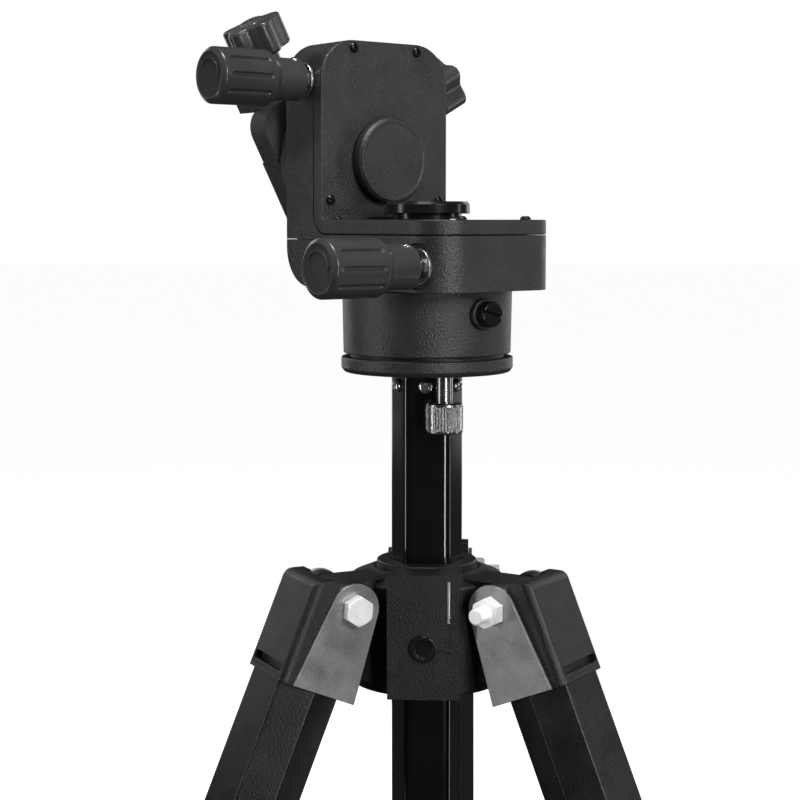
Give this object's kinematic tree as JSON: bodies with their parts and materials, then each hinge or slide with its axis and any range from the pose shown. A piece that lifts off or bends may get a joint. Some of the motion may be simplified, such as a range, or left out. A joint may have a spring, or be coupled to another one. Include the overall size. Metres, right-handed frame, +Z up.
{
  "type": "telescope mount on tripod",
  "caption": "Alt-azimuth telescope mount head with slow-motion knobs and dovetail saddle, on an extending column and folding three-legged stand.",
  "frame": {"origin": "middle of the bounding box on the floor that the three feet stand on", "axes": "+Z up along the column; -Y towards the open side between the two front legs; +X to the right seen from there"},
  "size_m": [0.5522, 0.4972, 0.8791],
  "materials": {
    "black_casting": "die casting painted satin black with a fine texture",
    "moulded_plastic": "fine-textured black moulding",
    "moulded_grip": "satin black moulded knob",
    "column_tube": "gloss black anodised extrusion",
    "leg_tube": "satin dark grey extrusion",
    "stamped_plate": "stamped steel, dark grey powder coat",
    "chrome": "bright plated",
    "bright_steel": "turned",
    "brass": "turned",
    "rubber": "matt black"
  },
  "bodies": {
    "crown": {"tripod_crown": "moulded_plastic", "left_pivot_bolt": "chrome", "right_pivot_bolt": "chrome", "rear_pivot_bolt": "chrome"},
    "column_clamp": {"column_clamp_screw": "bright_steel"},
    "column": {"column": "column_tube", "column_end_cap": "moulded_plastic", "base_ring": "black_casting", "azimuth_spindle": "bright_steel", "azimuth_worm_wheel": "brass", "azimuth_cap": "black_casting"},
    "thumbscrew": {"head_thumbscrew": "chrome"},
    "azimuth_head": {"altitude_housing": "black_casting", "azimuth_housing": "black_casting", "cover_plate": "black_casting", "base_drum": "black_casting", "altitude_worm_bush": "brass", "azimuth_worm_bush": "brass"},
    "azimuth_lock": {"azimuth_lock_screw": "black_casting"},
    "azimuth_drive": {"azimuth_worm": "bright_steel", "azimuth_knob": "moulded_grip"},
    "altitude_drive": {"altitude_worm": "bright_steel", "altitude_knob": "moulded_grip"},
    "saddle": {"altitude_shaft": "bright_steel", "altitude_cap": "black_casting", "altitude_worm_wheel": "brass", "saddle_body": "black_casting"},
    "saddle_jaw": {"saddle_moving_jaw": "black_casting"},
    "saddle_clamp": {"saddle_clamp_screw": "bright_steel", "saddle_clamp_knob": "moulded_grip"},
    "altitude_clutch": {"altitude_clutch_screw": "bright_steel", "altitude_clutch_knob": "moulded_grip"},
    "left_leg": {"left_leg_head": "moulded_plastic", "left_leg_bolt_side_plate": "stamped_plate", "left_leg_nut_side_plate": "stamped_plate", "left_upper_leg": "leg_tube", "left_leg_clamp": "moulded_plastic"},
    "left_leg_section": {"left_lower_leg": "leg_tube", "left_foot": "rubber"},
    "left_leg_lock": {"left_leg_lock_screw": "moulded_grip"},
    "right_leg": {"right_leg_head": "moulded_plastic", "right_leg_bolt_side_plate": "stamped_plate", "right_leg_nut_side_plate": "stamped_plate", "right_upper_leg": "leg_tube", "right_leg_clamp": "moulded_plastic"},
    "right_leg_section": {"right_lower_leg": "leg_tube", "right_foot": "rubber"},
    "right_leg_lock": {"right_leg_lock_screw": "moulded_grip"},
    "rear_leg": {"rear_leg_head": "moulded_plastic", "rear_leg_bolt_side_plate": "stamped_plate", "rear_leg_nut_side_plate": "stamped_plate", "rear_upper_leg": "leg_tube", "rear_leg_clamp": "moulded_plastic"},
    "rear_leg_section": {"rear_lower_leg": "leg_tube", "rear_foot": "rubber"},
    "rear_leg_lock": {"rear_leg_lock_screw": "moulded_grip"}
  },
  "joints": [
    {"name": "column_slide", "type": "slide", "parent": "crown", "child": "column", "axis": [0, 0, 1], "range_m": [-0.06, 0.13]},
    {"name": "column_clamp_turn", "type": "hinge", "parent": "crown", "child": "column_clamp", "pos_m": [0.0056, -0.10909, 0.566], "axis": [-0.0523, -0.9986, 0], "range_deg": [0, 720]},
    {"name": "thumbscrew_turn", "type": "hinge", "parent": "column", "child": "thumbscrew", "pos_m": [0.0158, -0.09415, 0.68], "axis": [0, 0, -1], "range_deg": [0, 1080]},
    {"name": "azimuth_turn", "type": "hinge", "parent": "column", "child": "azimuth_head", "pos_m": [0.0078, -0.06714, 0.737], "axis": [0, 0, 1], "continuous": true},
    {"name": "azimuth_lock_turn", "type": "hinge", "parent": "azimuth_head", "child": "azimuth_lock", "pos_m": [0.03551, -0.10261, 0.726], "axis": [0.6157, -0.788, 0], "range_deg": [0, 720]},
    {"name": "azimuth_knob_turn", "type": "hinge", "parent": "azimuth_head", "child": "azimuth_drive", "pos_m": [0.00152, -0.12408, 0.749], "axis": [-0.788, -0.6157, 0], "continuous": true},
    {"name": "altitude_turn", "type": "hinge", "parent": "azimuth_head", "child": "saddle", "pos_m": [-0.0316, -0.01671, 0.8005], "axis": [0.6157, -0.788, 0], "range_deg": [-48, 67]},
    {"name": "altitude_knob_turn", "type": "hinge", "parent": "azimuth_head", "child": "altitude_drive", "pos_m": [-0.05327, -0.05395, 0.8397], "axis": [-0.788, -0.6157, 0], "range_deg": [-1730, 2415]},
    {"name": "saddle_jaw_slide", "type": "slide", "parent": "saddle", "child": "saddle_jaw", "axis": [0.3699, 0.289, -0.8829], "range_m": [-0.004, 0.004]},
    {"name": "saddle_clamp_turn", "type": "hinge", "parent": "saddle_jaw", "child": "saddle_clamp", "pos_m": [-0.07551, -0.00914, 0.85254], "axis": [0.3699, 0.289, -0.8829], "range_deg": [-1155, 1155]},
    {"name": "altitude_clutch_turn", "type": "hinge", "parent": "saddle", "child": "altitude_clutch", "pos_m": [-0.00919, 0.02364, 0.82706], "axis": [0.6958, 0.5436, 0.4695], "range_deg": [0, 360]},
    {"name": "left_leg_fold", "type": "hinge", "parent": "crown", "child": "left_leg", "pos_m": [-0.03675, -0.08984, 0.585], "axis": [0.454, -0.891, 0], "range_deg": [0, 22]},
    {"name": "left_leg_extend", "type": "slide", "parent": "left_leg", "child": "left_leg_section", "axis": [-0.3467, -0.1767, -0.9212], "range_m": [0, 0.38]},
    {"name": "left_leg_lock_turn", "type": "hinge", "parent": "left_leg", "child": "left_leg_lock", "pos_m": [-0.2608, -0.20401, 0.08222], "axis": [-0.8208, -0.4182, 0.3891], "range_deg": [0, 540]},
    {"name": "right_leg_fold", "type": "hinge", "parent": "crown", "child": "right_leg", "pos_m": [0.04973, -0.09438, 0.585], "axis": [0.5446, 0.8387, 0], "range_deg": [0, 22]},
    {"name": "right_leg_extend", "type": "slide", "parent": "right_leg", "child": "right_leg_section", "axis": [0.3263, -0.2119, -0.9212], "range_m": [0, 0.38]},
    {"name": "right_leg_lock_turn", "type": "hinge", "parent": "right_leg", "child": "right_leg_lock", "pos_m": [0.26063, -0.23133, 0.08222], "axis": [0.7726, -0.5017, 0.3891], "range_deg": [0, 540]},
    {"name": "rear_leg_fold", "type": "hinge", "parent": "crown", "child": "rear_leg", "pos_m": [0.01042, -0.01721, 0.585], "axis": [-0.9986, 0.0523, 0], "range_deg": [0, 22]},
    {"name": "rear_leg_extend", "type": "slide", "parent": "rear_leg", "child": "rear_leg_section", "axis": [0.0204, 0.3886, -0.9212], "range_m": [0, 0.38]},
    {"name": "rear_leg_lock_turn", "type": "hinge", "parent": "rear_leg", "child": "rear_leg_lock", "pos_m": [0.02358, 0.2339, 0.08222], "axis": [0.0482, 0.9199, 0.3891], "range_deg": [0, 540]}
  ],
  "couplings": [
    {"joint": "azimuth_knob_turn", "follows": "azimuth_turn", "ratio": 36},
    {"joint": "altitude_knob_turn", "follows": "altitude_turn", "ratio": 36},
    {"joint": "saddle_clamp_turn", "follows": "saddle_jaw_slide", "rad_per_m": 5026.5}
  ]
}
